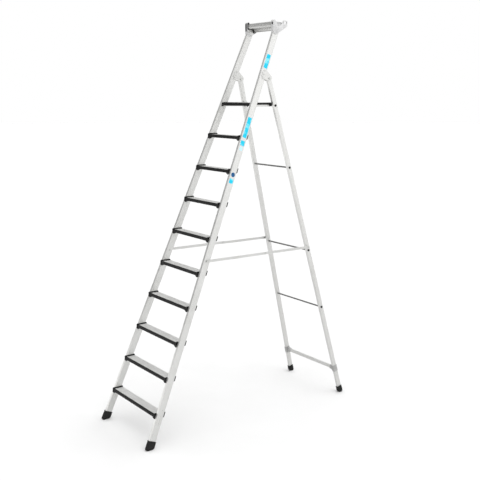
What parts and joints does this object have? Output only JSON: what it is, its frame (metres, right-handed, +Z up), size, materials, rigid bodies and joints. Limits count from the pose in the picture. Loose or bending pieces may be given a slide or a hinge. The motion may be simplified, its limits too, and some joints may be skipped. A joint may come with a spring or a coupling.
{
  "type": "step ladder",
  "caption": "Folding platform step ladder: ribbed treads between aluminium stiles, a hinged rear frame, folding spreaders, a fold-up platform and a tool tray.",
  "frame": {"origin": "centre of the footprint at floor level, ladder opened and standing on its four shoes", "axes": "+Z up; +Y from the climbing side to the rear frame; +X to the right of a person who faces the treads"},
  "size_m": [0.6922, 1.867, 2.9456],
  "materials": {
    "stile_aluminium": "satin anodised extrusion",
    "tread_aluminium": "satin, ribbed extrusion",
    "bar_aluminium": "satin, flat bar and tube",
    "sleeve_metal": "satin grey casting",
    "black_plastic": "matt, moulded",
    "shoe_rubber": "matt, moulded",
    "grey_plastic": "satin, moulded",
    "plated_steel": "zinc plated",
    "rod_steel": "satin dark grey",
    "label_cyan": "printed film",
    "label_blue": "printed film"
  },
  "bodies": {
    "front_frame": {"stile_left": "stile_aluminium", "stile_right": "stile_aluminium", "tread_1": "tread_aluminium", "tread_2": "tread_aluminium", "tread_3": "tread_aluminium", "tread_4": "tread_aluminium", "tread_5": "tread_aluminium", "tread_6": "tread_aluminium", "tread_7": "tread_aluminium", "tread_8": "tread_aluminium", "tread_9": "tread_aluminium", "tread_nosings": "black_plastic", "tread_caps_left": "black_plastic", "tread_caps_right": "black_plastic", "tread_studs": "plated_steel", "front_shoe_left": "shoe_rubber", "front_shoe_right": "shoe_rubber", "tool_tray": "bar_aluminium", "tray_flanges": "black_plastic", "tray_cap_left": "grey_plastic", "tray_cap_right": "grey_plastic", "tray_screws": "plated_steel", "hinge_bracket_left": "stile_aluminium", "hinge_bracket_right": "stile_aluminium", "bracket_rivets": "plated_steel", "hinge_pins": "plated_steel", "platform_pins": "plated_steel", "spreader_front_pins": "plated_steel", "label_panels": "label_cyan", "label_disc": "label_blue"},
    "rear_frame": {"rear_leg_left": "stile_aluminium", "rear_leg_right": "stile_aluminium", "platform_rod": "rod_steel", "rear_rod_upper": "rod_steel", "rear_rod_middle": "rod_steel", "rear_rod_lower": "rod_steel", "rod_caps": "black_plastic", "lower_brace": "bar_aluminium", "brace_sleeve_left": "sleeve_metal", "brace_sleeve_right": "sleeve_metal", "brace_rivets": "plated_steel", "rear_shoe_left": "shoe_rubber", "rear_shoe_right": "shoe_rubber", "spreader_rear_pins": "plated_steel"},
    "platform": {"platform_deck": "tread_aluminium", "platform_nosing": "black_plastic", "platform_cap_left": "black_plastic", "platform_cap_right": "black_plastic", "platform_rail_left": "tread_aluminium", "platform_rail_right": "tread_aluminium"},
    "front_bar_left": {"front_link_left": "bar_aluminium", "mid_rivet_left": "plated_steel"},
    "front_bar_right": {"front_link_right": "bar_aluminium", "mid_rivet_right": "plated_steel"},
    "rear_bar_left": {"rear_link_left": "bar_aluminium"},
    "rear_bar_right": {"rear_link_right": "bar_aluminium"}
  },
  "joints": [
    {"name": "rear_frame_fold", "type": "hinge", "parent": "front_frame", "child": "rear_frame", "pos_m": [0, 0.24739, 2.525], "axis": [-1, 0, 0], "range_deg": [0, 37.89]},
    {"name": "platform_fold", "type": "hinge", "parent": "front_frame", "child": "platform", "pos_m": [0, 0.09694, 2.335], "axis": [1, 0, 0], "range_deg": [0, 66.84]},
    {"name": "spreader_front_left", "type": "hinge", "parent": "front_frame", "child": "front_bar_left", "pos_m": [0, -0.36591, 1.253], "axis": [1, 0, 0], "range_deg": [0, 64.25]},
    {"name": "spreader_rear_left", "type": "hinge", "parent": "rear_frame", "child": "rear_bar_left", "pos_m": [0, 0.58417, 1.244], "axis": [-1, 0, 0], "range_deg": [0, 70.06]},
    {"name": "spreader_front_right", "type": "hinge", "parent": "front_frame", "child": "front_bar_right", "pos_m": [0, -0.36591, 1.253], "axis": [1, 0, 0], "range_deg": [0, 64.25]},
    {"name": "spreader_rear_right", "type": "hinge", "parent": "rear_frame", "child": "rear_bar_right", "pos_m": [0, 0.58417, 1.244], "axis": [-1, 0, 0], "range_deg": [0, 70.06]}
  ],
  "couplings": [
    {"joint": "platform_fold", "follows": "rear_frame_fold", "ratio": 1.764},
    {"joint": "spreader_front_left", "follows": "rear_frame_fold", "ratio": 1.6955},
    {"joint": "spreader_rear_left", "follows": "rear_frame_fold", "ratio": 1.8489},
    {"joint": "spreader_front_right", "follows": "rear_frame_fold", "ratio": 1.6955},
    {"joint": "spreader_rear_right", "follows": "rear_frame_fold", "ratio": 1.8489}
  ]
}
